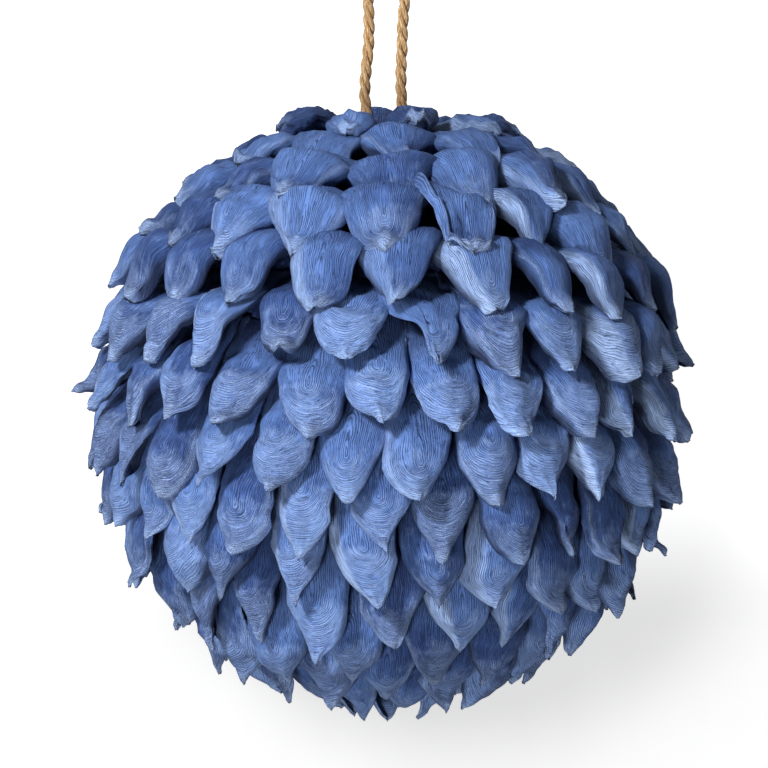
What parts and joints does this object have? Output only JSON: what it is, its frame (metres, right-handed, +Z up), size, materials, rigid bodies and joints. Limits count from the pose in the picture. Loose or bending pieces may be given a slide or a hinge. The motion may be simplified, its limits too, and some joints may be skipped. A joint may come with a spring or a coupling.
{
  "type": "hanging paper petal ball",
  "caption": "Round hanging decoration: a light ball covered in overlapping rows of cupped, pointed blue paper petals, hung from a twisted rope loop at its top.",
  "frame": {"origin": "inner top of the rope loop, where the ball hangs from its hook", "axes": "+Z up, -Y to the front of the ball, +X to its right as the picture shows it"},
  "size_m": [0.2482, 0.2482, 0.3189],
  "materials": {
    "foam_core": "dyed expanded foam, matt",
    "petal_paper": "dyed, matt, finely ridged",
    "jute_rope": "twisted jute, hairy"
  },
  "bodies": {
    "root": {"core_ball": "foam_core", "petal_turn_01": "petal_paper", "petal_turn_02": "petal_paper", "petal_turn_03": "petal_paper", "petal_turn_04": "petal_paper", "petal_turn_05": "petal_paper", "petal_turn_06": "petal_paper", "petal_turn_07": "petal_paper", "petal_turn_08": "petal_paper", "petal_turn_09": "petal_paper", "petal_turn_10": "petal_paper", "petal_turn_11": "petal_paper", "petal_turn_12": "petal_paper", "petal_turn_13": "petal_paper", "petal_turn_14": "petal_paper", "hanger_rope": "jute_rope"}
  },
  "joints": []
}
